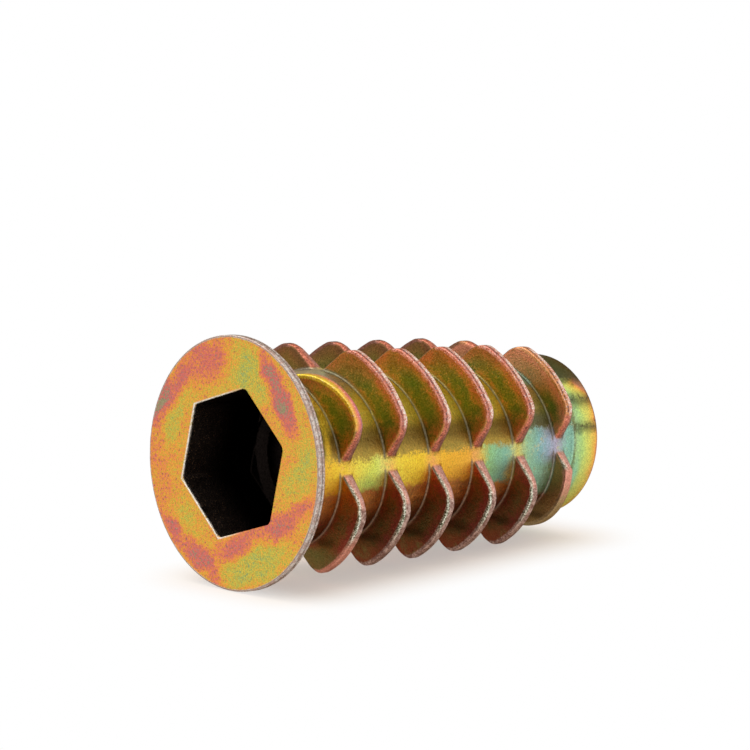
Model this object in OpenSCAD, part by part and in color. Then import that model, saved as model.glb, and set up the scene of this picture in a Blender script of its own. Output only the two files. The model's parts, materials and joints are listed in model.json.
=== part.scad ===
// Threaded insert for wood: one die-cast piece with a flange, a hexagonal drive socket,
// a tapped bore and a coarse right-hand thread that four lengthwise channels break into fins.
//
// The insert is drawn along its own axis, +Z from the flange face to the tip, and then
// laid on its side as it comes to rest: on the flange's rim and on the two rows of fins
// beside the lower channel. The origin is on that surface, under the middle of the insert.

/* [Body] */
// Length from the flange face to the end of the tip
overall_l = 26.3; // [24:0.1:36]
// Diameter of the core at the flange
core_d = 10.5; // [10:0.1:11.6]
// Diameter to which the core narrows at the plain tip
core_end_d = 9.6; // [8.8:0.1:10.2]
// Diameter of the plain tip
tip_d = 10.2; // [9:0.1:11]
// Length of the plain tip
tip_l = 2.1; // [1:0.1:3]
// Radius on the tip's outer edge
tip_round = 0.35; // [0.1:0.05:0.8]

/* [Flange] */
// Diameter of the flange
flange_d = 15; // [14.8:0.1:19]
// Thickness of the flange at its rim
flange_t = 0.55; // [0.4:0.05:1.2]
// Radius on both edges of the rim
rim_round = 0.1; // [0.05:0.01:0.18]
// Size of the sloped shoulder between the flange and the core
shoulder = 1; // [0.4:0.1:1.3]

/* [Drive socket] */
// Width of the hexagonal socket across its flats
hex_af = 8; // [7:0.1:8.2]
// Depth of the socket from the flange face
hex_depth = 5.4; // [4.5:0.1:9]
// Turn of the socket about the axis, in degrees
hex_turn = 13; // [0:1:59]

/* [Tapped bore] */
// Diameter of the bore at the crests of its machine thread
bore_d = 6.8; // [5:0.1:6.8]
// Size of the bevel at each end of the bore
bore_bevel = 0.5; // [0.2:0.1:0.6]

/* [Wood thread] */
// Diameter over the first full fins
thread_d = 14.36; // [12.6:0.02:14.6]
// Advance of the thread in one turn
pitch = 3.7; // [3:0.1:4.4]
// Distance from the flange face to the middle of the first fin
first_fin_z = 3.75; // [3:0.05:5]
// Fall of the crest radius between the first fin and the last
crest_fall = 0.4; // [0:0.05:0.8]
// Further fall of the crest on the last three fins
end_fall = 0.3; // [0:0.05:0.5]
// Width of the flat crest of a fin
land = 0.54; // [0.3:0.02:0.9]
// Slope of the flank that faces the flange, in degrees
front_slope = 2; // [0.5:0.5:10]
// Slope of the flank that faces the tip, in degrees
back_slope = 8; // [4:1:20]

/* [Channels] */
// Width of the bare strip of core along the middle of each channel
channel_w = 0.6; // [0.3:0.1:1.5]
// Draft of a fin's two ends, in degrees
end_draft = 6; // [2:1:10]
// Radius where a fin's crest turns into its ends
corner_round = 0.75; // [0.2:0.05:1.2]

/* [Run-in and run-out] */
// Turn over which the first fin rises from the core, in degrees
run_in_span = 65; // [50:1:90]
// Height of the first fin's arc over the crest, which cuts it off
run_in_over = 0.22; // [0:0.02:0.5]
// Turn over which the last fin's arc falls to the core, in degrees
run_out_span = 72; // [60:1:110]
// Depth of the last fin's highest point under the crest
run_out_under = 0.33; // [0:0.01:0.5]
// Turn from the middle of the first fin on to its arc's highest point, in degrees
run_in_turn = 33; // [20:1:45]
// Turn from the middle of the last fin back to its arc's highest point, in degrees
run_out_turn = 6; // [0:1:45]

/* [Hidden] */
$fn = 96;

// Material left around the socket's corners and the bore at the least
least_wall = 0.2;
// How far a fin's rounded corners stand proud of its crest, so that their arcs cross
proud = 0.004;
// Room past a solid for a cutting shape
past = 1;

hex_r = hex_af / (2 * cos(30));
flange_r = flange_d / 2;
bore_r = bore_d / 2;
crest_max = thread_d / 2;

// The core narrows evenly from the flange to the tip, and keeps its wall round both holes
core_l = overall_l - tip_l;
core_draft = (core_d - core_end_d) / 2 / core_l;
core_r = max(
    core_d / 2,
    hex_r + least_wall + core_draft * hex_depth,
    bore_r + least_wall + core_draft * core_l
);
function core_at(z) = core_r - core_draft * z;
tip_r = max(tip_d / 2, core_at(core_l));

// Angle of row 0 of the fins: rows lie midway between the channels at 0, 90, 180 and 270
row_angle = -135;
// Number of fins, four to a turn, that have room before the plain tip
fins = 1 + floor((core_l - land - first_fin_z) / (pitch / 4));
// Tilt of a fin, so that four quarter turns follow the helix
fin_tilt = atan(pitch / (PI * thread_d));
// A fin's height above the flange face, its turn about the axis and its crest radius
function fin_z(n) = first_fin_z + n * pitch / 4;
function fin_turn(n) = row_angle + 90 * n;
function crest_r(n) =
    crest_max - crest_fall * n / (fins - 1) - (n > fins - 4 ? end_fall : 0);

// A run-in or run-out is a circle off the axis: it reaches high at its highest point and
// meets the core of radius low after the given span. This is its centre's distance.
function run_offset(high, low, span) =
    (high * high - low * low) / (2 * (high - low * cos(span)));
run_in_high = crest_r(0) + run_in_over;
run_in_e = run_offset(run_in_high, core_at(fin_z(0)), run_in_span);
run_out_high = crest_r(fins - 1) - run_out_under;
run_out_e = run_offset(run_out_high, core_at(fin_z(fins - 1)), run_out_span);

// Where the end of fin n meets the core, in a frame with X along the middle of the fin
function root_angle(n) = 45 - asin(channel_w / 2 / core_at(fin_z(n)));
function root_x(n) = core_at(fin_z(n)) * cos(root_angle(n));
function root_y(n) = core_at(fin_z(n)) * sin(root_angle(n));
// Half width that the fin's drafted ends would have on the axis
draft_m = tan(end_draft);
function end_y(n) = root_y(n) + draft_m * root_x(n);
// Centre of the rounded corner between the crest and the drafted end
function corner_b(n) = end_y(n) - corner_round / cos(end_draft);
function corner_x(n) =
    let (
        reach = crest_r(n) + proud - corner_round,
        b = corner_b(n),
        q = 1 + draft_m * draft_m
    )
    (b * draft_m + sqrt(q * reach * reach - b * b)) / q;
function corner_y(n) = corner_b(n) - draft_m * corner_x(n);

// Depth of the lower corner of fin n under the axis
function corner_drop(n) = (corner_x(n) + corner_y(n)) / sqrt(2) + corner_round;
// Tilt at which the rim's back edge and a point at a given depth and height share one plane
function touch_tilt(depth, z) = atan((flange_r - depth) / (z - flange_t));
function fin_touch(n) = touch_tilt(corner_drop(n), fin_z(n) + land / 2);
// The insert tips over its rim until the first thing touches: the tip, or a fin of row 1 or
// 2, which stand on either side of the lower channel at angle 0
rest_tilt = min(concat(
    [touch_tilt(tip_r, overall_l - tip_round)],
    [for (n = [1 : fins - 2]) if (n % 4 == 1 || n % 4 == 2) fin_touch(n)]
));
// Extents of the tilted insert, before it is moved over the origin
rest_floor = flange_r * cos(rest_tilt) + (flange_t - rim_round) * sin(rest_tilt)
    + rim_round * (1 - cos(rest_tilt));
rest_back = -(flange_r - rim_round) * sin(rest_tilt) - rim_round * (1 - cos(rest_tilt));
rest_front = (overall_l - tip_round) * cos(rest_tilt)
    + (tip_r - tip_round) * sin(rest_tilt) + tip_round;

// Half section of the solid body: flange, shoulder, core and plain tip
module body_section() {
    square([flange_r - rim_round, flange_t]);
    translate([0, rim_round])
        square([flange_r, flange_t - 2 * rim_round]);
    for (z = [rim_round, flange_t - rim_round])
        translate([flange_r - rim_round, z])
            circle(r = rim_round);
    neck_z = flange_t + shoulder;
    polygon([[0, 0], [core_r + shoulder, 0], [core_r + shoulder, flange_t],
        [core_at(neck_z), neck_z], [core_at(core_l), core_l], [0, core_l]]);
    translate([0, core_l])
        square([tip_r, tip_l - tip_round]);
    translate([0, core_l])
        square([tip_r - tip_round, tip_l]);
    translate([tip_r - tip_round, overall_l - tip_round])
        circle(r = tip_round);
}

// Outline of a fin seen along the axis: crest arc, rounded corners and drafted ends
module fin_outline(n) {
    x = corner_x(n);
    y = corner_y(n);
    reach = 2 * crest_r(n) / (x + y);
    tip_x = x + corner_round * sin(end_draft);
    tip_y = y + corner_round * cos(end_draft);
    inner_y = end_y(n);
    intersection() {
        circle(r = crest_r(n));
        polygon([[0, 0], [x * reach, -y * reach], [x * reach, y * reach]]);
    }
    for (side = [-1, 1])
        translate([x, side * y])
            circle(r = corner_round);
    polygon([[0, -inner_y], [tip_x, -tip_y], [x, -y], [x, y], [tip_x, tip_y], [0, inner_y]]);
}

// Blade that a fin is cut from: a disc with a flat land and two sloped flanks
module blade(n) {
    r = crest_r(n);
    inner = (bore_r + core_at(core_l)) / 2;
    outer = r + past;
    front = tan(front_slope);
    back = tan(back_slope);
    rotate([fin_tilt, 0, 0])
        rotate_extrude()
            polygon([
                [inner, -land / 2 - front * (r - inner)],
                [outer, -land / 2 - front * (r - outer)],
                [outer, land / 2 + back * (r - outer)],
                [inner, land / 2 + back * (r - inner)]
            ]);
}

// The first fin rises from the core, the last falls back, and the rest have full height
module fin(n) {
    intersection() {
        blade(n);
        translate([0, 0, -pitch])
            linear_extrude(height = 2 * pitch)
                fin_outline(n);
        if (n == 0)
            rotate([0, 0, run_in_turn])
                translate([run_in_e, 0, -pitch])
                    cylinder(r = run_in_high - run_in_e, h = 2 * pitch);
        if (n == fins - 1)
            rotate([0, 0, -run_out_turn])
                translate([run_out_e, 0, -pitch])
                    cylinder(r = run_out_high - run_out_e, h = 2 * pitch);
    }
}

module wood_thread() {
    for (n = [0 : fins - 1])
        translate([0, 0, fin_z(n)])
            rotate([0, 0, fin_turn(n)])
                fin(n);
}

module drive_socket() {
    translate([0, 0, -past])
        rotate([0, 0, hex_turn])
            cylinder(r = hex_r, h = hex_depth + past, $fn = 6);
}

module tapped_bore() {
    cylinder(r = bore_r, h = overall_l + past);
    translate([0, 0, hex_depth])
        cylinder(r1 = bore_r + bore_bevel, r2 = bore_r, h = bore_bevel);
    translate([0, 0, overall_l - bore_bevel])
        cylinder(r1 = bore_r, r2 = bore_r + bore_bevel + past, h = bore_bevel + past);
}

// Lays an upright insert on its side and sets it over the origin
module laid_down() {
    translate([-(rest_back + rest_front) / 2, 0, rest_floor])
        rotate([0, 90 + rest_tilt, 0])
            children();
}

module insert() {
    color("goldenrod")
        laid_down()
            difference() {
                union() {
                    rotate_extrude()
                        body_section();
                    wood_thread();
                }
                drive_socket();
                tapped_bore();
            }
}

insert();
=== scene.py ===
import json
import math
import bpy
import numpy as np
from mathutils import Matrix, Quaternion, Vector


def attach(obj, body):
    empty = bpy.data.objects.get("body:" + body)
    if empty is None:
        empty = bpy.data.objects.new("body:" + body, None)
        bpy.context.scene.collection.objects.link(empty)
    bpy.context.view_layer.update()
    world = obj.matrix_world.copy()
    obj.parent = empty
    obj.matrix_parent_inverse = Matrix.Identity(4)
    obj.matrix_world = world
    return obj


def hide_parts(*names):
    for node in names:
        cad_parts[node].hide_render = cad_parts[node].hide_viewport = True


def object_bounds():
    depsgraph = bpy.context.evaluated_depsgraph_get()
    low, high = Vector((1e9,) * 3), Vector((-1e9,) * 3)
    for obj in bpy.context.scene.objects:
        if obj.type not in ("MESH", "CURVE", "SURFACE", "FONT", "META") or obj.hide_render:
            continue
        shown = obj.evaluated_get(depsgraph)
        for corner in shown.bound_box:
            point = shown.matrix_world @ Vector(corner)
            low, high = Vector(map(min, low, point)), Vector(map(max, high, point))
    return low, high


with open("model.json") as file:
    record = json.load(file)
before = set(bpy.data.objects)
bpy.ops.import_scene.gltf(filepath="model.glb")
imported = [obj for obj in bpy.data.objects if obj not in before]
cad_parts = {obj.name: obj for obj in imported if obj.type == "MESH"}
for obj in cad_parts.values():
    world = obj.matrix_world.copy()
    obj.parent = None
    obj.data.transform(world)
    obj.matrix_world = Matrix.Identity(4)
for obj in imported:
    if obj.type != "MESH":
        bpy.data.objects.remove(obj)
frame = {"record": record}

cad_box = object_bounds()
record = frame["record"]
mounts = {m["name"]: m for m in record["mounts"]}

# ---------------------------------------------------------------- sizes, in millimetres
MM = 0.001
PIECE = "cast_insert"

# Grid of the surface mesh, and the most triangles that it may keep
FULL_STEP = 0.085
MOST_TRIANGLES = 190000

# Core, tip and flange
overall_l = 26.3
core_r = 5.25
core_end_r = 4.8
tip_r = 5.1
tip_l = 2.1
tip_round = 0.35
tip_fillet = 0.12
flange_r = 7.498
flange_t = 0.55
rim_round = 0.1
neck_fillet = 1.15

# Drive socket
hex_apothem = 4.0
hex_depth = 5.4
hex_turn = math.radians(13)
hex_corner = 0.22
hex_floor_round = 0.12
mouth_round = 0.07

# Tapped bore
bore_r = mounts["machine_thread"]["dims"]["r_mm"]
bore_bevel = 0.5
screw_pitch = 1.25
screw_depth = 0.6
screw_flat = 0.16
screw_flank = math.radians(30)

# Outer thread: its helix, the fins' crests and how a fin is cut
pitch = 3.7
fins = 22
first_fin_z = 3.75
row_angle = -135.0
crest_first = 7.18
crest_last = 6.78
low_fins = 3
end_drop = 0.3
land = 0.54
front_slope = math.radians(2)
back_slope = math.radians(8)
end_draft = math.radians(6)
half_channel = 0.3

# Rounding of the fins
crest_round = 0.09
end_round = 0.24
start_round = 0.12
end_blend = 0.6
corner_round = 0.75
root_fillet = 0.12

# Off-centre circles on which the thread rises from the core and sinks into it
run_in_turn = math.radians(33)
run_in_span = math.radians(65)
run_in_over = 0.22
run_out_turn = math.radians(6)
run_out_span = math.radians(72)
run_out_under = 0.33

# Worked out from the sizes above
core_draft = (core_r - core_end_r) / (overall_l - tip_l)
lead = pitch / (2 * math.pi)
hex_turns = [hex_turn + math.radians(30 + 60 * k) for k in range(3)]

# How far a fin reaches along the axis from its middle, and a distance well outside it
fin_reach = 1.9
outside_fin = 5.0

# Scales that bring the screw thread's and the bevels' measures near to true distances
screw_scale = 0.55
bevel_scale = 0.7
bore_overlap = 0.1


def core_at(z):
    return core_r - core_draft * z


def fin_z(n):
    return first_fin_z + n * pitch / 4


def row_turn(n):
    return math.radians(row_angle + 90 * n)


def crest_at(n):
    """Radius of a fin's crest; the last few stand lower."""
    crest = crest_first + (crest_last - crest_first) * n / (fins - 1)
    return crest - end_drop if n >= fins - low_fins else crest


def root_corner(low):
    """Where a fin's end leaves a core of this radius, in the fin's own turned frame."""
    turn = math.pi / 4 - math.asin(half_channel / low)
    return low * math.cos(turn), low * math.sin(turn)


def run_circle(n):
    """Centre and radius of the circle that the first or the last fin's crest follows."""
    if n == 0:
        centre_turn, span, high = run_in_turn, run_in_span, crest_at(n) + run_in_over
    else:
        centre_turn, span, high = -run_out_turn, run_out_span, crest_at(n) - run_out_under
    low = core_at(fin_z(n))
    offset = (high ** 2 - low ** 2) / (2 * (high - low * math.cos(span)))
    return offset * math.cos(centre_turn), offset * math.sin(centre_turn), high - offset


# ---------------------------------------------------------------- where the insert lies
def unit(v):
    v = np.array(v, float)
    return v / np.linalg.norm(v)


def insert_frame():
    """Rotation and origin of the insert's own frame: +Z runs to the tip and +X points down."""
    bore = mounts["machine_thread"]
    along = -unit(bore["axis"])
    across = np.array([0.0, 1.0, 0.0])
    down = np.cross(across, along)
    on_axis = np.array(bore["pos_m"])
    face = np.array(mounts["flange_face"]["pos_m"])
    origin = on_axis + along * ((face - on_axis) @ along)
    return np.stack([down, across, along], axis=1), origin


def outward(x, y, turn):
    """How far a point lies out from the axis in the direction of a turn."""
    return x * math.cos(turn) + y * math.sin(turn)


def turned(x, y, turn):
    """A point's coordinates in a frame that is turned round the axis."""
    return outward(x, y, turn), outward(y, x * -1, turn)


# ---------------------------------------------------------------- distance functions
def blend_union(a, b, radius):
    """Union of two solids with a round fillet between them."""
    u = np.maximum(radius - a, 0)
    v = np.maximum(radius - b, 0)
    return np.maximum(radius, np.minimum(a, b)) - np.hypot(u, v)


def blend_cut(a, b, radius):
    """Intersection of two solids with a rounded edge between them."""
    u = np.maximum(radius + a, 0)
    v = np.maximum(radius + b, 0)
    return np.minimum(-radius, np.maximum(a, b)) + np.hypot(u, v)


def slab(r, z, r_end, z_low, z_high, round_r):
    """Disc round the axis, from z_low to z_high, with rounded rims."""
    qr = r - (r_end - round_r)
    qz = np.abs(z - (z_low + z_high) / 2) - ((z_high - z_low) / 2 - round_r)
    outside = np.hypot(np.maximum(qr, 0), np.maximum(qz, 0))
    return outside + np.minimum(np.maximum(qr, qz), 0) - round_r


def turned_body(r, z):
    """Flange, core and tip, as if turned on a lathe."""
    flange = slab(r, z, flange_r, 0, flange_t, rim_round)
    core = np.maximum(r - core_at(z), z - (overall_l - tip_l / 2))
    tip = slab(r, z, tip_r, overall_l - tip_l, overall_l, tip_round)
    body = blend_union(blend_union(flange, core, neck_fillet), tip, tip_fillet)
    body = np.maximum(body, -z)
    return np.maximum(body, z - overall_l)


def fin_blade(crest, r, rise):
    """The space between a fin's two flanks, which lean towards each other."""
    front = (-rise - land / 2 - np.tan(front_slope) * (crest - r)) * math.cos(front_slope)
    back = (rise - land / 2 - np.tan(back_slope) * (crest - r)) * math.cos(back_slope)
    return np.maximum(front, back)


def fin_distance(n, x, y, z):
    """One fin: a helical blade with a flat crest, rounded corners and drafted ends."""
    crest = crest_at(n)
    fx, fy = turned(x, y, row_turn(n))
    r = np.hypot(fx, fy)
    rise = z - fin_z(n) - np.arctan2(fy, fx) * lead
    rise = rise * np.cos(np.arctan2(lead, r))

    root_x, root_y = root_corner(core_at(fin_z(n)))
    side = (np.abs(fy) - root_y - math.tan(end_draft) * (root_x - fx)) * math.cos(end_draft)
    outline = blend_cut(r - crest, side, corner_round)
    if n in (0, fins - 1):
        cx, cy, radius = run_circle(n)
        outline = np.maximum(outline, np.hypot(fx - cx, fy - cy) - radius)
    at_end = np.clip((side - (r - crest)) / end_blend + 0.5, 0, 1)
    round_r = np.where(fy > 0, end_round, start_round)
    edge_round = crest_round + (round_r - crest_round) * at_end
    fin = blend_cut(outline, fin_blade(crest, r, rise), edge_round)
    return np.where(fx > 0, fin, outside_fin)


def socket(x, y, z):
    """The hexagonal drive socket, with slightly rounded corners."""
    sides = np.sort([np.abs(outward(x, y, turn)) - hex_apothem for turn in hex_turns], axis=0)
    walls = blend_cut(sides[2], sides[1], hex_corner)
    return blend_cut(walls, z - hex_depth, hex_floor_round)


def tapped_bore(x, y, r, z):
    """The bore with its machine thread and the bevel at each end."""
    phase = z / screw_pitch - np.arctan2(y, x) / (2 * math.pi)
    off = np.abs(phase - np.round(phase)) * screw_pitch
    groove = screw_depth - (off - screw_flat / 2) / math.tan(screw_flank)
    thread = (r - bore_r - np.clip(groove, 0, screw_depth)) * screw_scale
    wide = bore_r + bore_bevel
    inner = np.maximum(r - wide - (hex_depth - z), hex_depth - bore_overlap - z) * bevel_scale
    outer = (r - wide + (overall_l - z)) * bevel_scale
    return np.minimum(np.minimum(thread, inner), outer)


def insert_distance(p):
    """Signed distance, near the surface, of the whole insert at points p in its own frame."""
    x, y, z = p[:, 0], p[:, 1], p[:, 2]
    r = np.hypot(x, y)
    solid = turned_body(r, z)
    for n in range(fins):
        near = np.flatnonzero(np.abs(z - fin_z(n)) < fin_reach)
        if len(near):
            fin = fin_distance(n, x[near], y[near], z[near])
            solid[near] = blend_union(solid[near], fin, root_fillet)
    hollow = np.minimum(socket(x, y, z), tapped_bore(x, y, r, z))
    return blend_cut(solid, -hollow, mouth_round)


def gradient(p):
    """Direction and slope of the distance, from four points round each point."""
    step = 0.004
    corners = np.array([[1, -1, -1], [-1, -1, 1], [-1, 1, -1], [1, 1, 1]], float)
    g = sum(np.outer(insert_distance(p + step * c), c) for c in corners)
    length = np.linalg.norm(g, axis=1, keepdims=True)
    return g / np.maximum(length, 1e-12), length[:, 0] / (4 * step)


def project(p, rounds=2):
    """Moves points onto the surface along its gradient."""
    least_slope = 0.3
    longest_move = 0.1
    for _ in range(rounds):
        direction, slope = gradient(p)
        d = insert_distance(p) / np.maximum(slope, least_slope)
        p = p - direction * np.clip(d, -longest_move, longest_move)[:, None]
    return p


# ---------------------------------------------------------------- surface mesh
def sample_field(step):
    """The field on a grid, worked out only in blocks that the surface may cross."""
    block = 8
    blocks_at_once = 1500
    low = np.array([-flange_r, -flange_r, 0]) - 3 * step
    span = np.array([2 * flange_r, 2 * flange_r, overall_l]) + 6 * step
    blocks = np.ceil(span / step / block).astype(int)
    field = np.empty(blocks * block, np.float32)
    index = np.stack(np.meshgrid(*[np.arange(b) for b in blocks], indexing="ij"), -1).reshape(-1, 3)
    centres = low + (index * block + block / 2) * step
    middle = insert_distance(centres)
    half_diagonal = block * step * 0.95
    active = np.abs(middle) < half_diagonal
    view = field.reshape(blocks[0], block, blocks[1], block, blocks[2], block)
    view = view.transpose(0, 2, 4, 1, 3, 5)
    far = middle.reshape(blocks)
    view[...] = np.where(far < 0, -1, 1)[..., None, None, None]
    inner = np.stack(np.meshgrid(*[np.arange(block)] * 3, indexing="ij"), -1).reshape(-1, 3)
    busy = index[active]
    for some in np.array_split(busy, max(1, len(busy) // blocks_at_once)):
        points = (some[:, None, :] * block + inner[None]).reshape(-1, 3) * step + low
        values = insert_distance(points).reshape(len(some), block, block, block)
        view[some[:, 0], some[:, 1], some[:, 2]] = values
    return low, field


def surface_net(low, step, field):
    """Quads through the cells that the surface crosses, with one point in each cell."""
    inside = field < 0
    counts = np.zeros(tuple(s - 1 for s in field.shape), np.int8)
    shape = counts.shape
    offsets = [(i, j, k) for i in (0, 1) for j in (0, 1) for k in (0, 1)]
    for i, j, k in offsets:
        counts += inside[i:i + shape[0], j:j + shape[1], k:k + shape[2]]
    cells = np.argwhere((counts > 0) & (counts < 8))
    number = np.full(shape, -1, np.int32)
    number[tuple(cells.T)] = np.arange(len(cells))
    total = np.zeros((len(cells), 3))
    hits = np.zeros(len(cells))
    for a in offsets:
        for axis in range(3):
            if a[axis]:
                continue
            b = tuple(v + (m == axis) for m, v in enumerate(a))
            fa = field[tuple((cells + a).T)].astype(float)
            fb = field[tuple((cells + b).T)].astype(float)
            crossed = (fa < 0) != (fb < 0)
            share = np.where(crossed, fa / np.where(crossed, fa - fb, 1), 0)
            spot = np.array(a, float) + share[:, None] * (np.arange(3) == axis)
            total += np.where(crossed[:, None], spot, 0)
            hits += crossed
    points = low + (cells + total / hits[:, None]) * step
    quads = []
    for axis in range(3):
        u, v = (axis + 1) % 3, (axis + 2) % 3
        first = np.take(inside, range(0, inside.shape[axis] - 1), axis)
        second = np.take(inside, range(1, inside.shape[axis]), axis)
        for changed, flip in ((first & ~second, False), (~first & second, True)):
            at = np.argwhere(changed)
            at = at[(at[:, u] > 0) & (at[:, v] > 0) & (at[:, u] < shape[u]) & (at[:, v] < shape[v])]
            eu, ev = np.eye(3, dtype=int)[u], np.eye(3, dtype=int)[v]
            ring = [at - eu - ev, at - ev, at, at - eu]
            quad = np.stack([number[tuple(c.T)] for c in ring], axis=1)
            quads.append(quad[:, ::-1] if flip else quad)
    return points, np.concatenate(quads)


def make_mesh(name, points, faces):
    mesh = bpy.data.meshes.new(name)
    mesh.vertices.add(len(points))
    mesh.vertices.foreach_set("co", points.astype(np.float32).ravel())
    size = faces.shape[1]
    mesh.loops.add(faces.size)
    mesh.loops.foreach_set("vertex_index", faces.astype(np.int32).ravel())
    mesh.polygons.add(len(faces))
    mesh.polygons.foreach_set("loop_start", np.arange(0, faces.size, size, dtype=np.int32))
    mesh.polygons.foreach_set("loop_total", np.full(len(faces), size, np.int32))
    mesh.update(calc_edges=True)
    return mesh


def fewer_triangles(piece):
    """Thins the mesh out until it is inside its budget."""
    triangles = 2 * len(piece.data.polygons)
    if triangles <= MOST_TRIANGLES:
        return
    reducer = piece.modifiers.new("fewer", "DECIMATE")
    reducer.ratio = MOST_TRIANGLES / triangles
    reducer.use_collapse_triangulate = True
    graph = bpy.context.evaluated_depsgraph_get()
    piece.data = bpy.data.meshes.new_from_object(piece.evaluated_get(graph))
    piece.data.name = PIECE
    piece.modifiers.clear()


def insert_piece():
    """The insert's surface as one mesh, laid where the CAD model lies."""
    step = FULL_STEP
    low, field = sample_field(step)
    points, quads = surface_net(low, step, field)
    mesh = make_mesh(PIECE, project(points), quads)
    piece = bpy.data.objects.new(PIECE, mesh)
    bpy.context.scene.collection.objects.link(piece)
    fewer_triangles(piece)

    mesh = piece.data
    own = np.zeros(len(mesh.vertices) * 3, np.float32)
    mesh.vertices.foreach_get("co", own)
    own = project(own.reshape(-1, 3).astype(float), 1)
    normals = gradient(own)[0]
    turn, origin = insert_frame()
    placed = own * MM @ turn.T + origin
    mesh.vertices.foreach_set("co", placed.astype(np.float32).ravel())
    mesh.polygons.foreach_set("use_smooth", np.ones(len(mesh.polygons), bool))
    mesh.update()
    mesh.normals_split_custom_set_from_vertices(normals @ turn.T)
    return piece


insert = insert_piece()
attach(insert, "root")
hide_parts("insert")


# ---------------------------------------------------------------- shader arithmetic
class Num:
    """A number worked out in a material: arithmetic on it adds Math nodes."""

    def __init__(self, tree, socket):
        self.tree = tree
        self.socket = socket

    def math(self, operation, *others):
        node = self.tree.nodes.new("ShaderNodeMath")
        node.operation = operation
        for slot, term in zip(node.inputs, (self,) + others):
            feed(slot, term)
        return Num(self.tree, node.outputs[0])

    def __add__(self, other):
        return self.math("ADD", other)

    def __sub__(self, other):
        return self.math("SUBTRACT", other)

    def __mul__(self, other):
        return self.math("MULTIPLY", other)

    def __truediv__(self, other):
        return self.math("DIVIDE", other)

    def size(self):
        return self.math("ABSOLUTE")

    def either(self, other):
        return self.math("MAXIMUM", other)

    def lesser(self, other):
        return self.math("MINIMUM", other)

    def distance(self, other):
        """Length of the diagonal whose two sides are this number and another."""
        return (self * self + other * other).math("SQRT")

    def part(self):
        """Signed distance from the nearest whole number."""
        return self - self.math("ROUND")

    def step(self, low, high):
        """0 at low, 1 at high and smooth between them; low may be the larger one."""
        node = self.tree.nodes.new("ShaderNodeMapRange")
        node.interpolation_type = "SMOOTHSTEP"
        feed(node.inputs["Value"], self)
        node.inputs["From Min"].default_value = low
        node.inputs["From Max"].default_value = high
        return Num(self.tree, node.outputs["Result"])

    def near(self, value, reach):
        """1 at a value, 0 from reach away."""
        return (self - value).size().step(reach, 0)

    def towards(self, other, share):
        """Blend of this number and another."""
        node = self.tree.nodes.new("ShaderNodeMix")
        feed(node.inputs["Factor"], share)
        feed(node.inputs["A"], self)
        feed(node.inputs["B"], other)
        return Num(self.tree, node.outputs["Result"])


def feed(slot, term):
    """Gives an input a number or a link."""
    if isinstance(term, Num):
        term.tree.links.new(term.socket, slot)
    else:
        slot.default_value = term


class Shade:
    """The insert's own coordinates and textures, in millimetres, in one node tree."""

    def __init__(self, tree):
        self.tree = tree
        turn, origin = insert_frame()
        position = tree.nodes.new("ShaderNodeTexCoord").outputs["Object"]
        axes = []
        for k in range(3):
            dot = tree.nodes.new("ShaderNodeVectorMath")
            dot.operation = "DOT_PRODUCT"
            tree.links.new(position, dot.inputs[0])
            dot.inputs[1].default_value = turn[:, k] / MM
            axes.append(Num(tree, dot.outputs["Value"]) - float(origin @ turn[:, k]) / MM)
        self.x, self.y, self.z = axes
        self.r = self.x.distance(self.y)
        self.angle = self.y.math("ARCTAN2", self.x)

    def place(self, stretch, turn):
        """Coordinates turned round the axis, then stretched."""
        across, beside = turned(self.x, self.y, math.radians(turn))
        joined = self.tree.nodes.new("ShaderNodeCombineXYZ")
        for slot, value, times in zip(joined.inputs, (across, beside, self.z), stretch):
            feed(slot, value * times)
        return joined.outputs[0]

    def noise(self, per_mm, detail, rough, warp=0.0, seed=0.0, stretch=(1, 1, 1), turn=0.0):
        """Noise from about -1 to 1."""
        node = self.tree.nodes.new("ShaderNodeTexNoise")
        node.noise_dimensions = "4D"
        self.tree.links.new(self.place(stretch, turn), node.inputs["Vector"])
        node.inputs["W"].default_value = seed
        node.inputs["Scale"].default_value = per_mm
        node.inputs["Detail"].default_value = detail
        node.inputs["Roughness"].default_value = rough
        node.inputs["Distortion"].default_value = warp
        return (Num(self.tree, node.outputs[0]) - 0.5) * 2.6

    def colours(self, thickness, stops):
        node = self.tree.nodes.new("ShaderNodeValToRGB")
        ramp = node.color_ramp
        while len(ramp.elements) < len(stops):
            ramp.elements.new(0.5)
        for element, (at, colour) in zip(ramp.elements, stops):
            element.position = at
            element.color = (*colour, 1)
        feed(node.inputs["Fac"], thickness)
        return node.outputs["Color"]

    def along(self, place, stops):
        """Colours at places along the axis."""
        low, high = stops[0][0], stops[-1][0]
        shares = [((at - low) / (high - low), colour) for at, colour in stops]
        return self.colours((place - low) / (high - low), shares)

    def mix(self, first, second, share, blend="MIX"):
        """Blend of two colours, each a socket or three numbers."""
        node = self.tree.nodes.new("ShaderNodeMix")
        node.data_type = "RGBA"
        node.blend_type = blend
        feed(node.inputs["Factor"], share)
        for slot, colour in ((node.inputs[6], first), (node.inputs[7], second)):
            if isinstance(colour, tuple):
                slot.default_value = (*colour, 1)
            else:
                self.tree.links.new(colour, slot)
        return node.outputs[2]

    def grey(self, value):
        joined = self.tree.nodes.new("ShaderNodeCombineXYZ")
        for slot in joined.inputs:
            feed(slot, value)
        return joined.outputs[0]


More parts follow.
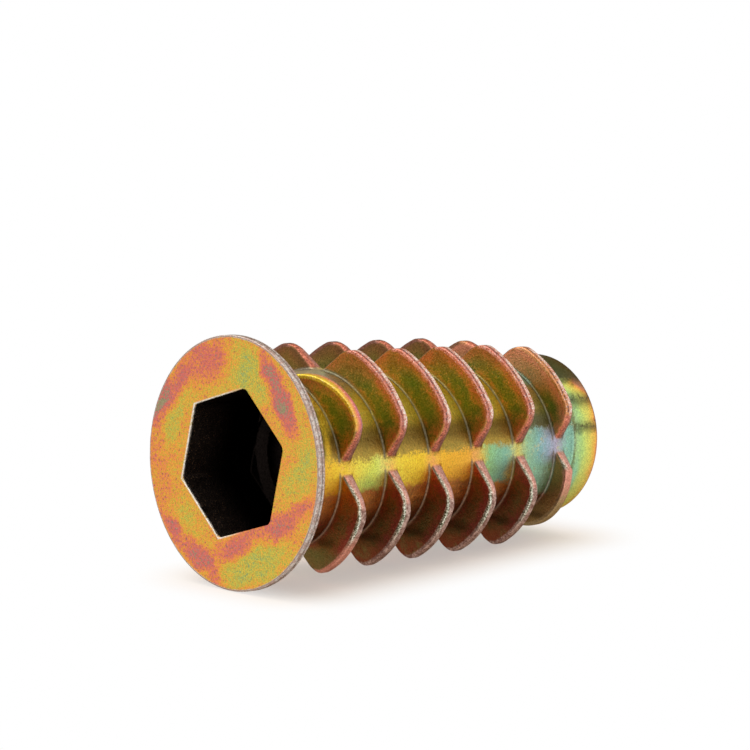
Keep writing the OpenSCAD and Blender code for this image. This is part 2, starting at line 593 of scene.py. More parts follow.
# ---------------------------------------------------------------- material
# Colours of the chromate film, from thin to thick
FILM = [
    (0.00, (0.26, 0.34, 0.26)),
    (0.15, (0.30, 0.38, 0.24)),
    (0.28, (0.40, 0.46, 0.15)),
    (0.38, (0.54, 0.52, 0.10)),
    (0.48, (0.66, 0.50, 0.08)),
    (0.58, (0.78, 0.44, 0.07)),
    (0.67, (0.86, 0.35, 0.07)),
    (0.75, (0.80, 0.26, 0.11)),
    (0.83, (0.70, 0.18, 0.15)),
    (0.91, (0.66, 0.18, 0.17)),
    (0.96, (0.44, 0.25, 0.19)),
    (1.00, (0.36, 0.32, 0.18)),
]

# Colours along the channels, by place along the axis
CHANNEL = [
    (2.0, (0.86, 0.42, 0.06)),
    (3.6, (0.95, 0.60, 0.05)),
    (5.2, (0.86, 0.68, 0.09)),
    (6.4, (0.72, 0.76, 0.13)),
    (7.4, (0.74, 0.76, 0.18)),
    (8.4, (0.92, 0.68, 0.08)),
    (10.6, (0.92, 0.58, 0.05)),
    (12.6, (0.90, 0.47, 0.05)),
    (14.8, (0.88, 0.44, 0.06)),
    (15.9, (0.72, 0.55, 0.12)),
    (16.5, (0.32, 0.56, 0.24)),
    (18.0, (0.26, 0.50, 0.36)),
    (19.0, (0.68, 0.58, 0.16)),
    (20.0, (0.36, 0.56, 0.32)),
    (21.0, (0.26, 0.50, 0.46)),
    (21.9, (0.36, 0.44, 0.52)),
    (22.7, (0.48, 0.40, 0.50)),
    (23.6, (0.30, 0.54, 0.42)),
]

# Colours across the tip, from its root to its end
TIP = [
    (24.1, (0.34, 0.52, 0.30)),
    (24.6, (0.46, 0.66, 0.22)),
    (25.0, (0.62, 0.70, 0.18)),
    (25.5, (0.76, 0.66, 0.14)),
    (25.9, (0.90, 0.50, 0.10)),
    (26.1, (0.80, 0.30, 0.12)),
    (26.3, (0.50, 0.24, 0.14)),
]

# Colours of the upper rows' flanks, painted as lit from above, from their middle to their edges
FLANK = [
    (0.0, (0.13, 0.21, 0.04)),
    (0.3, (0.24, 0.24, 0.05)),
    (0.48, (0.46, 0.28, 0.07)),
    (0.66, (0.60, 0.24, 0.08)),
    (0.85, (0.64, 0.19, 0.11)),
    (1.0, (0.74, 0.30, 0.16)),
]

# Colours of the lower rows' flanks, darker and redder as painted shade, from their middle to their
# edges
LOW_FLANK = [
    (0.0, (0.18, 0.20, 0.07)),
    (0.3, (0.33, 0.16, 0.06)),
    (0.6, (0.40, 0.10, 0.07)),
    (0.85, (0.50, 0.13, 0.09)),
    (1.0, (0.60, 0.26, 0.10)),
]

# Colours of crests and fin ends, from dark to worn
CREST = [
    (0.0, (0.28, 0.08, 0.06)),
    (0.3, (0.62, 0.20, 0.12)),
    (0.55, (0.82, 0.32, 0.23)),
    (0.8, (0.90, 0.48, 0.38)),
    (1.0, (0.94, 0.78, 0.68)),
]

# Colours of the first crest, by place along the axis
FIRST_CREST = [
    (3.2, (0.86, 0.64, 0.08)),
    (3.6, (0.88, 0.58, 0.08)),
    (3.8, (0.90, 0.38, 0.12)),
    (4.0, (0.78, 0.22, 0.20)),
    (4.2, (0.46, 0.22, 0.20)),
]

# Stains on the flange face: place down and across the axis, length, width, turn and change of film
FACE_STAINS = [
    (3.65, -2.93, 5.4, 0.66, 64, 0.25),
    (5.55, 3.3, 3.0, 0.65, -60, 0.26),
    (-5.9, 2.2, 2.6, 1.2, 68, 0.22),
    (-3.3, 5.6, 2.4, 0.6, 40, 0.25),
    (-3.4, 6.5, 1.7, 0.5, 22, 0.26),
    (-5.6, -1.1, 2.2, 1.2, -50, -0.24),
    (-4.4, -4.0, 2.7, 0.75, -35, 0.40),
    (0.3, -5.8, 1.6, 0.9, 40, -0.14),
    (5.6, -2.4, 2.9, 0.9, 64, -0.23),
    (-2.2, 5.1, 1.9, 0.55, 25, -0.14),
    (3.9, 4.0, 1.5, 0.7, -20, -0.12),
    (1.5, 6.5, 3.6, 0.9, -12, 0.10),
    (-1.8, -6.2, 1.7, 0.6, -20, -0.10),
]


# Single colours of the core and its channels
GOLD = (1.0, 0.76, 0.12)
OLD_GOLD = (0.60, 0.42, 0.09)
LATE_GOLD = (0.68, 0.52, 0.16)
DULL_OLIVE = (0.28, 0.28, 0.14)
AMBER = (0.70, 0.28, 0.06)
BROWN = (0.26, 0.16, 0.045)
DULL_TEAL = (0.20, 0.25, 0.15)
GROOVE_SHADE = (0.05, 0.04, 0.02)
CORAL = (0.90, 0.36, 0.15)
LIME = (0.48, 0.66, 0.16)
SEA_GREEN = (0.34, 0.62, 0.40)
STONE = (0.42, 0.36, 0.30)

# Single colours of the neck and the tip
NECK_SHADOW = (0.10, 0.15, 0.07)
NECK_HIGHLIGHT = (0.90, 0.60, 0.06)
TIP_REFLECTED_DARK = (0.08, 0.075, 0.045)
TIP_UNDER_SHADE = (0.38, 0.35, 0.12)
TIP_TEAL = (0.22, 0.50, 0.36)

# Single colours of the flanks, ends and crests
RUST = (0.36, 0.11, 0.02)
BACK_FLANK_SHADE = (0.10, 0.06, 0.03)
BLUSH = (0.88, 0.32, 0.20)
LOW_SHADE = (0.06, 0.025, 0.015)
LOW_TAN = (0.46, 0.33, 0.12)
LOW_ORANGE = (0.60, 0.26, 0.06)
LOW_RUST = (0.27, 0.075, 0.035)
LOW_OLIVE = (0.19, 0.20, 0.07)
LOW_REFLECTED_SHADE = (0.03, 0.015, 0.01)
LOW_ROOT_SHADE = (0.05, 0.02, 0.012)
FROST_DARK = (0.12, 0.17, 0.08)
FROST_LIGHT = (0.84, 0.82, 0.68)
END_BACK = (0.34, 0.25, 0.22)
END_LINE = (0.08, 0.10, 0.05)
CREST_SPOT = (0.24, 0.07, 0.07)
CREST_ORANGE = (0.86, 0.42, 0.10)
CREST_WORN_HIGHLIGHT = (0.92, 0.78, 0.66)
CREST_DOT = (0.10, 0.035, 0.04)
CREST_GLINT = (1.0, 0.88, 0.82)
BACK_CREST_SHADE = (0.12, 0.06, 0.04)
LOW_CREST_DARK = (0.28, 0.15, 0.12)
LOW_CREST_LIGHT = (0.58, 0.40, 0.33)
LOW_CREST_PINK = (0.80, 0.34, 0.24)
LOW_CREST_OLIVE = (0.34, 0.27, 0.12)
FOOT_LOW = (0.20, 0.15, 0.11)
FOOT_HIGH = (0.14, 0.125, 0.09)

# Single colours of the flange and the socket
FACE_SPECK = (0.20, 0.15, 0.09)
RIM_DARK = (0.50, 0.34, 0.28)
RIM_LIGHT = (0.66, 0.58, 0.52)
RIM_LINE = (0.16, 0.13, 0.11)
FACE_OUTLINE = (0.20, 0.14, 0.11)
SOCKET_SHADE_DEEP = (0.011, 0.008, 0.007)
SOCKET_SHADE_MOUTH = (0.11, 0.08, 0.065)
SOCKET_PIT = (0.60, 0.36, 0.20)
BORE_END = (0.46, 0.32, 0.11)
MOUTH_WEAR_HIGHLIGHT = (0.88, 0.80, 0.70)
METAL_EDGE_TINT = (0.35, 0.30, 0.26, 1)


class Finish(Shade):
    """Places on the insert and textures, from which the colours are worked out."""

    def __init__(self, tree):
        super().__init__(tree)
        self.add_textures()
        self.measure_fins()
        self.mark_regions()
        self.mark_channel()
        self.mark_hollow()

    def add_textures(self):
        self.broad = self.noise(0.25, 2, 0.5, 0.6, seed=3)
        self.patches = self.noise(0.6, 3, 0.6, 0.8, seed=1)
        self.mottle = self.noise(3.0, 3, 0.6, 0.3, seed=2) * 1.5
        self.coarse = self.noise(5.0, 2, 0.6, seed=10) * 2
        self.grain = self.noise(8.0, 2, 0.6, seed=4) * 2
        self.speck = self.noise(11.0, 2, 0.7, seed=6) * 2
        self.fine = self.noise(22.0, 1, 0.6, seed=5) * 2

    def depth_under_crest(self):
        """Depth under the crests, which fall towards the tip and follow a circle at each end."""
        z = self.z
        first_low = fins - low_fins
        fall = (crest_first - crest_last) / (fin_z(fins - 1) - first_fin_z)
        lowered = z.step(fin_z(first_low - 0.6), fin_z(first_low - 0.4)) * end_drop
        depth = (z - first_fin_z) * -fall + crest_first - self.r - lowered
        for n, near in ((0, z.step(4.9, 4.7)), (fins - 1, z.step(21.3, 21.5))):
            fx, fy = turned(self.x, self.y, row_turn(n))
            cx, cy, radius = run_circle(n)
            under_run = (fx - cx).distance(fy - cy) * -1 + radius
            elsewhere = (near * (fx - fy.size()).step(0, 0.2)) * -9 + 9
            depth = depth.lesser(under_run + elsewhere)
        return depth

    def depth_in_end(self):
        """Depth in from the drafted end of a fin, whose swing from its middle is known."""
        root_x, root_y = root_corner((core_r + core_end_r) / 2)
        ahead = self.r * self.swing.math("COSINE")
        aside = (self.r * self.swing.math("SINE")).size()
        narrower = (self.z - (overall_l - tip_l) / 2) * (core_draft * 0.8)
        draft = math.tan(end_draft)
        return ahead * -draft - aside + (root_y + draft * root_x) - narrower

    def measure_fins(self):
        """Places on the fins, from their crests, ends and middle planes, and on the channels."""
        quarter = math.pi / 2
        self.over_core = self.r - (self.z * (-core_draft) + core_r)
        self.under_crest = self.depth_under_crest()
        turns = (self.z - first_fin_z) / pitch - (self.angle - row_turn(0)) / (2 * math.pi)
        self.from_middle = turns.part() * pitch
        self.swing = ((self.angle - math.pi / 4) / quarter).part() * quarter
        self.from_channel = (self.angle / quarter).part() * quarter
        self.from_end = self.depth_in_end()
        bend = (self.under_crest * -1 + corner_round).either(0.0)
        bend = bend.distance((self.from_end * -1 + corner_round).either(0.0))
        self.under_outline = self.under_crest.lesser(self.from_end).either(corner_round) - bend

    def mark_regions(self):
        """Masks of the parts of the surface, 1 on the part and 0 off it."""
        z = self.z
        tip_start = overall_l - tip_l
        self.threaded = z.step(1.2, 1.6) * z.step(tip_start + 0.1, tip_start - 0.1)
        self.fin = self.over_core.step(0.04, 0.22) * self.threaded
        self.tip = z.step(tip_start - 0.1, tip_start + 0.1)
        self.face = z.step(0.1, 0.04)
        # Upper side: its colours are painted as lit from above; the lower side takes darker, redder
        # copies as painted shade
        self.upper = self.x.step(0.8, -1.2)
        self.late = z.step(19.3, 20.3)
        self.first_fin = z.step(4.9, 4.7)
        self.last_fin = z.step(21.3, 21.8)
        self.end = self.under_outline.step(0.12, 0.03) * self.fin
        rounded = self.from_middle.step(-0.1, -0.3) * 0.16
        on_top = (self.from_end - self.under_crest).step(-0.2, 0.1)
        self.crest = (self.under_outline - rounded).step(0.14, 0.02) * on_top * self.fin

    def mark_channel(self):
        """Mask of the painted reflection: a bright stripe along each channel, with strayed edges.
        """
        strayed = self.from_channel + self.mottle * 0.05 + self.patches * 0.05
        strayed = strayed + self.grain * 0.02 + self.speck * 0.02
        lower_edge = strayed - self.z.step(15.8, 16.4) * 0.12 - self.late * 0.3
        self.lit = (strayed + self.late * 0.16).step(-0.12, -0.03) * lower_edge.step(0.34, 0.25)

    def mark_hollow(self):
        """Distance out from the hexagon's sides, and the mask of the socket and the bore."""
        z = self.z
        gaps = [outward(self.x, self.y, turn).size() - hex_apothem for turn in hex_turns]
        self.hex_gap = gaps[0].either(gaps[1]).either(gaps[2])
        in_socket = self.hex_gap.step(0.12, 0.04) * z.step(0.06, 0.14)
        in_socket = in_socket * z.step(hex_depth + 0.3, hex_depth + 0.1)
        in_bore = (self.r - bore_r - screw_depth).step(0.12, 0.08)
        in_bore = in_bore * z.step(hex_depth - 0.3, hex_depth)
        self.hollow = in_socket.either(in_bore * z.step(overall_l - 0.1, overall_l - 0.3))


def channel_colour(on):
    """Stripe along a channel, a painted reflection: iridescent by place, coral between the fins,
    greener below.
    """
    where = on.z + on.broad * 0.5 + on.patches * 0.5 + on.mottle * 0.25 + on.grain * 0.15
    colour = on.along(where, CHANNEL)
    between = (on.from_middle + on.patches * 0.3).near(0.0, 0.9) * on.z.step(17, 15)
    between = between * (on.mottle * 0.5 + on.patches).step(-0.7, 0.5)
    colour = on.mix(colour, CORAL, between * 0.65)
    below = on.from_channel + on.patches * 0.1
    colour = on.mix(colour, LIME, on.z.near(6.4, 2.2) * below.step(0.08, 0.22) * 0.65)
    colour = on.mix(colour, SEA_GREEN, on.late * below.step(0.1, 0.3) * 0.8)
    golden = (on.patches + on.mottle * 0.5 + on.coarse * 0.4).step(0.2, 1.1)
    return on.mix(colour, LATE_GOLD, on.late * golden * 0.6)


def dim_colour(on):
    """The band that lies in shade above a channel."""
    colour = on.mix(BROWN, DULL_TEAL, on.late)
    flecks = (on.mottle * 0.5 + on.grain * 0.5 + on.patches).step(0.3, 1.2)
    return on.mix(colour, OLD_GOLD, flecks * 0.7)


def core_colour(on):
    """Core: yellow and olive above, painted as lit, and maroon below as painted shade; a painted
    reflection along the channels, painted shade beside them.
    """
    tone = on.patches * 0.16 + on.mottle * 0.10 + on.grain * 0.16
    above = on.mix(on.colours(tone + 0.50, FILM), GOLD, 0.65)
    above = on.mix(above, DULL_OLIVE, on.late * 0.7)
    below = on.colours(tone + 0.40, LOW_FLANK)
    glow = on.from_channel.near(0.42, 0.34) * (on.mottle * 0.6 + on.patches).step(-1.2, 0.4)
    below = on.mix(below, AMBER, glow * 0.8)
    # Upper side painted as lit, lower side as painted shade
    colour = on.mix(below, above, on.upper)
    dimmed = (on.from_channel + on.patches * 0.06).step(-0.56, -0.36)
    dimmed = dimmed * on.from_channel.step(0.1, 0.0) * on.upper
    colour = on.mix(colour, dim_colour(on), dimmed * 0.8)
    # Painted shade deep in the upper grooves
    colour = on.mix(colour, GROOVE_SHADE, on.from_channel.near(-0.30, 0.17) * on.upper * 0.35)
    colour = on.mix(colour, channel_colour(on), on.lit)
    ridge = on.x.step(-3.6, -4.8) * (on.z + on.mottle).step(9, 6)
    return on.mix(colour, STONE, ridge * 0.8)


def add_neck(on, colour):
    """Neck between flange and thread, with painted shade in a dark patch and a painted highlight, a
    yellow streak, above in front.
    """
    neck = on.z.step(2.6, 1.9) * on.z.step(flange_t, flange_t + 0.05)
    tone = on.patches * 0.2 + on.mottle * 0.25 + on.grain * 0.2 + 0.3
    colour = on.mix(colour, on.colours(tone, FLANK), neck * on.lit.towards(1.0, 0.6))
    climb = (on.from_channel * -1 - 0.4).either(0.0)
    beyond = on.z - climb * climb * 4 + on.mottle * 0.06
    in_front = on.upper * on.y.step(-1.5, -2.5) * on.from_channel.step(-0.78, -0.66)
    before = beyond.near(2.35, 0.6) * on.from_channel.step(0.05, -0.2) * in_front
    # Painted shade in the neck, in front
    colour = on.mix(colour, NECK_SHADOW, before * 0.8)
    # Painted highlight along the neck fillet, a broken yellow streak
    neck_highlight = beyond.near(2.95, 0.38) * (on.mottle * 0.5 + on.patches).step(-1.2, -0.4)
    neck_highlight = neck_highlight * on.from_channel.step(0.0, -0.15) * in_front
    return on.mix(colour, NECK_HIGHLIGHT, neck_highlight * 0.95)


def tip_colour(on):
    """Tip: bands along the axis, painted dark reflections above, and painted shade and teal below.
    """
    warm = on.angle.near(math.radians(-135), 0.22) * 0.7
    where = on.z + warm + on.patches * 0.25 + on.mottle * 0.1 + on.grain * 0.08
    # Painted dark reflections: two streaks along the axis, the top and the upper end edge
    banded = on.angle + on.mottle * 0.03 + on.grain * 0.02
    dark = banded.near(math.radians(-121), 0.16).either(banded.near(math.radians(-101), 0.12))
    dark = dark * (on.mottle * 0.3 + on.grain * 0.3 + 1) * 0.76
    dark = dark.either((on.x + on.mottle * 0.2).step(-3.3, -4.0) * 0.95)
    at_edge = on.z.step(overall_l - 0.35, overall_l - 0.15)
    dark = dark.either(at_edge * on.x.step(-0.2, -1.2) * 0.75)
    colour = on.mix(on.along(where, TIP), TIP_REFLECTED_DARK, dark)
    # Painted shade: darker olive on the underside
    colour = on.mix(colour, TIP_UNDER_SHADE, (on.x + on.mottle * 0.3).step(0.5, 3.6) * 0.5)
    teal = (on.x + on.mottle * 0.4).step(0.4, 2.0) * on.z.step(overall_l - 1.3, overall_l - 1.9)
    return on.mix(colour, TIP_TEAL, teal * 0.7)


def high_flank_colour(on, edge, tone):
    """Flanks of the upper rows, painted as lit: olive, rust near the top, painted shade towards the
    back, pink on the last fin.
    """
    rusted = (on.x + on.mottle * 0.3).step(-4.4, -5.9)
    colour = on.mix(on.colours(tone, FLANK), RUST, rusted * 0.6)
    # Painted shade on the flanks towards the back
    colour = on.mix(colour, BACK_FLANK_SHADE, on.y.step(-0.5, 0.8) * (edge * 0.35 + 0.45))
    pink = on.under_crest.step(1.2, 0.3).either((on.x + on.mottle * 0.3).step(-2.6, -4.2) * 0.75)
    pink = pink * on.z.step(20.9, 21.5) * (on.mottle * 0.5 + on.patches).step(-1.2, 0.0)
    return on.mix(colour, BLUSH, pink * 0.8)


def low_flank_colour(on, tone):
    """Flanks of the lower rows, as painted shade: maroon, darker downwards, orange and tan at the
    two ends, with a band of reflected shade and painted shade at the roots.
    """
    x, z = on.x, on.z
    colour = on.colours(tone, LOW_FLANK)
    # Painted shade, darker downwards
    colour = on.mix(colour, LOW_SHADE, x.step(3.0, 5.0) * z.step(3.5, 6.5) * 0.5)
    colour = on.mix(colour, LOW_TAN, on.last_fin * 0.7)
    colour = on.mix(colour, LOW_ORANGE, z.step(6.5, 5.0) * x.step(3.5, 1.0) * 0.6)
    lowest = (x + on.patches * 0.4).step(4.9, 5.5)
    colour = on.mix(colour, LOW_RUST, lowest * z.step(6, 9) * 0.65)
    olive = lowest * (on.patches + on.mottle * 0.5 + z.step(9, 4)).step(-0.2, 0.9)
    colour = on.mix(colour, LOW_OLIVE, olive * 0.75)
    # Painted reflection of shade: a dark band across the lower flanks
    shaded = (x + on.patches * 0.3).near(4.6, 0.5) * on.y.step(-4.9, -3.6)
    colour = on.mix(colour, LOW_REFLECTED_SHADE, shaded * 0.6)
    # Painted shade near the roots
    root_shade = on.over_core.step(1.4, 0.2) * x.step(1.5, 3.0) * z.step(4.0, 6.0)
    return on.mix(colour, LOW_ROOT_SHADE, root_shade * 0.35)


def flank_colour(on):
    """Flanks of the fins, whose tone changes from their middle to their edges."""
    edge = on.under_crest.step(1.1, 0.15).either(on.from_end.step(1.2, 0.1))
    edge = edge.either(on.over_core.step(0.7, 0.1) * 0.5)
    tone = edge * 0.44 + on.patches * 0.30 + on.mottle * 0.16 + on.grain * 0.10 + on.speck * 0.08
    tone = tone + 0.22
    # Lower flanks as painted shade, upper flanks painted as lit
    return on.mix(low_flank_colour(on, tone), high_flank_colour(on, edge, tone), on.upper)


def frosted_colour(on):
    """Black and white grains, as on worn edges."""
    return on.mix(FROST_DARK, FROST_LIGHT, (on.speck + on.grain * 0.6).step(-0.5, 0.5))


def end_colour(on):
    """Ends of the fins: pink in front, with a dark line and a frosted one."""
    faced_up = on.swing.step(0.1, -0.1)
    tone = on.mottle * 0.08 + on.grain * 0.24 + faced_up * 0.44 + 0.24
    colour = on.mix(on.colours(tone, CREST), END_BACK, on.from_middle.step(-0.1, 0.2) * 0.5)
    colour = on.mix(colour, END_LINE, on.from_middle.near(-0.26, 0.12) * faced_up)
    frost = on.from_middle.near(-0.14, 0.2) * on.x.step(0.6, 1.2) * faced_up
    return on.mix(colour, frosted_colour(on), frost * 0.8)


def high_crest_colour(on):
    """Crests of the upper rows, painted as lit: pink with a dotted dark line, a pale line of wear
    and painted highlight, painted glints, and painted shade towards the back.
    """
    tone = on.mottle * 0.18 + on.grain * 0.24 + on.speck * 0.12 + on.patches * 0.14 + 0.50
    spots = (on.grain + on.coarse * 0.5).step(0.5, 1.2)
    colour = on.mix(on.colours(tone, CREST), CREST_SPOT, spots * 0.7)
    orange = (on.z + on.patches * 2).step(18, 21) * on.from_middle.step(0.05, -0.05)
    colour = on.mix(colour, CREST_ORANGE, orange * 0.5)
    # Pale line: wear with a painted highlight
    pale = on.from_middle.step(-0.10, 0.0) * on.from_middle.step(0.32, 0.24)
    pale = pale * (on.mottle + on.speck).step(-0.7, 0.5)
    colour = on.mix(colour, CREST_WORN_HIGHLIGHT, pale * 0.8)
    dots = on.from_middle.near(-0.13, 0.17) * (on.grain + on.speck).step(-0.5, 0.3)
    colour = on.mix(colour, CREST_DOT, dots)
    first = on.along(on.z + on.mottle * 0.08 + on.patches * 0.1, FIRST_CREST)
    colour = on.mix(colour, first, on.first_fin * (on.grain + on.speck * 0.6).step(1.4, 0.4))
    # Painted glints
    glint = (on.speck + on.fine * 0.5 + on.coarse * 0.3).step(0.7, 1.3)
    colour = on.mix(colour, CREST_GLINT, glint * 0.8)
    # Painted shade on the crests towards the back
    return on.mix(colour, BACK_CREST_SHADE, (on.y + on.mottle * 0.2).step(1.9, 2.7) * 0.85)


def low_crest_colour(on):
    """Crests of the lower rows, duller as painted shade: greyish pink, frosted in front, olive on
    the last fin.
    """
    x = on.x
    colour = on.mix(LOW_CREST_DARK, LOW_CREST_LIGHT, (on.mottle + on.grain * 0.6).step(-0.6, 0.7))
    pink = on.last_fin.either(on.z.step(5.5, 4.8) * x.step(3.5, 5))
    colour = on.mix(colour, LOW_CREST_PINK, pink * 0.8)
    dulled = on.last_fin * (x + on.patches * 0.5 + on.mottle * 0.5).step(2.2, 4.0)
    colour = on.mix(colour, LOW_CREST_OLIVE, dulled * 0.85)
    front_line = on.from_middle.near(-0.26, 0.17) * x.step(5.0, 3.6) * on.last_fin.step(1, 0)
    return on.mix(colour, frosted_colour(on), front_line)


def add_foot_line(on, colour):
    """Thin grey line along the foot of each fin, a painted reflection with painted shade in the
    root fillet.
    """
    # Painted reflection and shade in the root fillet
    foot = on.over_core.step(0.24, 0.12) * on.from_middle.near(-0.40, 0.13)
    foot = foot * on.from_end.step(-0.1, 0.1) * on.threaded
    foot = foot * (on.mottle + on.grain * 0.5).step(-1.6, -0.2) * 0.9
    return on.mix(colour, on.mix(FOOT_LOW, FOOT_HIGH, on.upper), foot)


def face_colour(on):
    """Flange face: film with located stains, their edges bent by slow noise."""
    ground = on.noise(0.9, 2, 0.6, 0.5, seed=7, stretch=(0.45, 1, 1), turn=60)
    film = on.patches * 0.10 + on.broad * 0.05 + 0.60 + ground * 0.12
    bent_x = on.x + on.noise(0.8, 2, 0.5, seed=8) * 0.55
    bent_y = on.y + on.noise(0.8, 2, 0.5, seed=9) * 0.55
    for down, across, length, width, tilt, change in FACE_STAINS:
        along, beside = turned(bent_x - down, bent_y - across, math.radians(tilt))
        along, beside = along / length, beside / width
        spread = along * along + beside * beside + on.mottle * 0.3
        film = film + spread.step(2.2, -0.3) * change
    film = film + on.mottle * 0.08 + on.coarse * 0.10 + on.grain * 0.13 + on.speck * 0.10
    specks = (on.grain + on.coarse * 0.6).step(0.2, 1.3)
    return on.mix(on.colours(film, FILM), FACE_SPECK, specks * 0.75)


def add_rim(on, colour):
    """Flange rim worn to bare metal, and a fine dark outline on the face."""
    rim = (on.r + on.mottle * 0.02).step(flange_r - 0.16, flange_r - 0.09)
    rim = rim * on.z.step(flange_t + 0.02, flange_t)
    rubbed = on.mix(RIM_DARK, RIM_LIGHT, (on.mottle + on.grain * 0.6).step(-0.4, 0.4))
    rubbed = on.mix(rubbed, RIM_LINE, (on.z + on.grain * 0.05).near(0.30, 0.09) * 0.8)
    colour = on.mix(colour, rubbed, rim)
    outline = on.r.near(flange_r - 0.07, 0.05) * on.z.step(0.12, 0.06)
    return on.mix(colour, FACE_OUTLINE, outline * (on.mottle + on.grain).step(-0.6, 0.2) * 0.8)


def add_hollow(on, colour):
    """Socket and bore in painted shade, nearly black deep in and lighter towards the mouth and the
    tip end, pitted, with a bright lip of wear and painted highlight.
    """
    # Painted shade in the socket and bore, lifting towards the mouth
    metal = on.mix(SOCKET_SHADE_DEEP, SOCKET_SHADE_MOUTH, on.z.step(3.6, 1.6))
    pitted = (on.speck + on.fine * 0.5).step(0.55, 1.0) * on.z.step(3.5, 0.5)
    metal = on.mix(metal, SOCKET_PIT, pitted)
    # Painted shade lifting towards the tip end
    metal = on.mix(metal, BORE_END, on.z.step(overall_l - 7, overall_l))
    colour = on.mix(colour, metal, on.hollow)
    # Lip on one side of the mouth: wear and a painted highlight
    lip = on.hex_gap.near(0.03, 0.10) * on.z.step(0.20, 0.10) * on.y.step(-1.5, 1.0)
    return on.mix(colour, MOUTH_WEAR_HIGHLIGHT, lip * (on.grain + on.mottle).step(-1.2, -0.3))


def finish_colour(on):
    """The colour of every place on the insert, laid on from the core outwards."""
    colour = add_neck(on, core_colour(on))
    colour = on.mix(colour, tip_colour(on), on.tip)
    colour = on.mix(colour, flank_colour(on), on.fin)
    colour = on.mix(colour, end_colour(on), on.end)
    # Lower crests as painted shade, upper crests painted as lit
    crest = on.mix(low_crest_colour(on), high_crest_colour(on), on.upper)
    colour = on.mix(colour, crest, on.crest)
    colour = add_foot_line(on, colour)
    colour = on.mix(colour, face_colour(on), on.face)
    colour = add_hollow(on, add_rim(on, colour))
    shine = (on.grain * 0.18 + on.speck * 0.24 + on.fine * 0.16 + 1.07) * (on.mottle * 0.06 + 1)
    return on.mix(colour, on.grey(shine), 1.0, "MULTIPLY")


def chromate():
    """Cast zinc under a yellow chromate film, whose colour follows the film's thickness."""
    metal = bpy.data.materials.new("yellow_chromate")
    metal.use_nodes = True
    tree = metal.node_tree
    shader = tree.nodes["Principled BSDF"]
    on = Finish(tree)
    tree.links.new(finish_colour(on), shader.inputs["Base Color"])
    shader.inputs["Metallic"].default_value = 1.0
    shader.inputs["Specular Tint"].default_value = METAL_EDGE_TINT
    roughness = on.grain * 0.05 + on.mottle * 0.04 + on.face * 0.12 + 0.38
    feed(shader.inputs["Roughness"], roughness)
    bump = tree.nodes.new("ShaderNodeBump")
    bump.inputs["Strength"].default_value = 0.5
    bump.inputs["Distance"].default_value = 0.03 * MM
    feed(bump.inputs["Height"], on.grain * 0.6 + on.fine * 0.3)
    tree.links.new(bump.outputs["Normal"], shader.inputs["Normal"])
    return metal


insert.data.materials.append(chromate())


# ---------------------------------------------------------------- stage
FLOOR_HALF = 3.0
FLOOR_COLOUR = (0.97, 0.77, 0.57, 1)
WHITE = (1, 1, 1, 1)

# The floor turns white from this far out along X and Y, in metres, and is white past the fade
FLOOR_KEPT = (0.010, 0.003)
FLOOR_FADE = 0.0068
FLOOR_WHITE_NEAR = 0.37


def stage():
    """Plain floor, level with the lowest point of the insert."""
    half = FLOOR_HALF
    mesh = bpy.data.meshes.new("floor")
    corners = [(-half, -half, 0), (half, -half, 0), (half, half, 0), (-half, half, 0)]
    mesh.from_pydata(corners, [], [(0, 1, 2, 3)])
    floor = bpy.data.objects.new("floor", mesh)
    bpy.context.scene.collection.objects.link(floor)
    floor.data.materials.append(floor_paint())


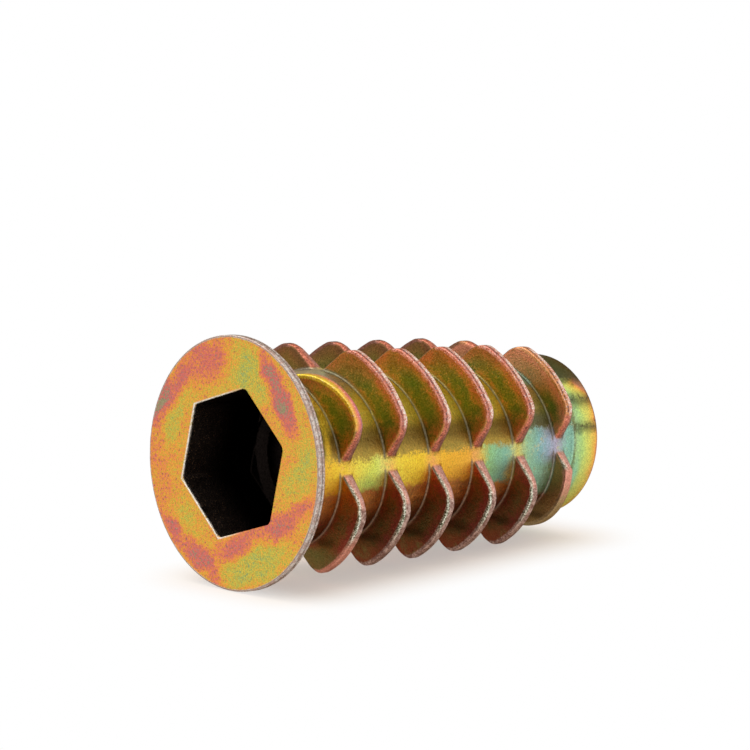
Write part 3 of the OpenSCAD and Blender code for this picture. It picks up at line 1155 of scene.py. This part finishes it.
def floor_paint():
    """Pale paint that passes into white away from the insert, and keeps the insert's shadow."""
    paint = bpy.data.materials.new("floor")
    paint.use_nodes = True
    tree = paint.node_tree
    shader = tree.nodes["Principled BSDF"]
    shader.inputs["Base Color"].default_value = FLOOR_COLOUR
    shader.inputs["Roughness"].default_value = 0.9
    white = tree.nodes.new("ShaderNodeEmission")
    white.inputs["Color"].default_value = WHITE
    white.inputs["Strength"].default_value = 1.0
    seen = tree.nodes.new("ShaderNodeLightPath").outputs
    rays = Num(tree, seen["Is Camera Ray"]).either(Num(tree, seen["Is Glossy Ray"]))
    rays = rays.either(Num(tree, seen["Is Transmission Ray"]))
    split = tree.nodes.new("ShaderNodeSeparateXYZ")
    tree.links.new(tree.nodes.new("ShaderNodeTexCoord").outputs["Object"], split.inputs[0])
    past_x, past_y = [
        (Num(tree, split.outputs[axis]).size() - kept).either(0.0)
        for axis, kept in enumerate(FLOOR_KEPT)
    ]
    fade = past_x.distance(past_y).step(0.0, FLOOR_FADE) * (1 - FLOOR_WHITE_NEAR)
    blend = tree.nodes.new("ShaderNodeMixShader")
    feed(blend.inputs[0], rays * fade + rays * FLOOR_WHITE_NEAR)
    tree.links.new(shader.outputs[0], blend.inputs[1])
    tree.links.new(white.outputs[0], blend.inputs[2])
    tree.links.new(blend.outputs[0], tree.nodes["Material Output"].inputs["Surface"])
    return paint


def camera():
    """A long lens a little above the floor, turned to the flange's side."""
    distance = 0.1835
    round_z = math.radians(-133.64)
    height = math.radians(8.11)
    roll = math.radians(-1.11)
    middle = (Vector(cad_box[0]) + Vector(cad_box[1])) / 2
    aim = middle + Vector((-0.35, 1.06, 3.70)) * MM
    direction = Vector((math.cos(round_z), math.sin(round_z), 0)) * math.cos(height)
    direction.z = math.sin(height)

    lens = bpy.data.cameras.new("camera")
    lens.lens = 144
    lens.sensor_width = 36
    lens.clip_start = 0.01
    lens.clip_end = 10
    eye = bpy.data.objects.new("camera", lens)
    bpy.context.scene.collection.objects.link(eye)
    eye.location = aim + direction * distance
    facing = direction.to_track_quat("Z", "Y") @ Quaternion((0, 0, 1), roll)
    eye.rotation_euler = facing.to_euler()
    bpy.context.scene.camera = eye


def key_light():
    """One round studio lamp, high above and behind, aimed at the insert."""
    place = Vector((-0.10, 0.25, 0.45))
    lamp = bpy.data.lights.new("key", "AREA")
    lamp.shape = "DISK"
    lamp.size = 0.25
    lamp.energy = 0.6
    holder = bpy.data.objects.new("key", lamp)
    bpy.context.scene.collection.objects.link(holder)
    holder.location = place
    holder.rotation_euler = (-place).to_track_quat("-Z", "Y").to_euler()


def white_studio():
    world = bpy.data.worlds.new("studio")
    world.use_nodes = True
    background = world.node_tree.nodes["Background"]
    background.inputs["Color"].default_value = WHITE
    background.inputs["Strength"].default_value = 1.0
    bpy.context.scene.world = world


stage()
camera()
white_studio()
key_light()
bpy.context.scene.view_settings.view_transform = "Standard"
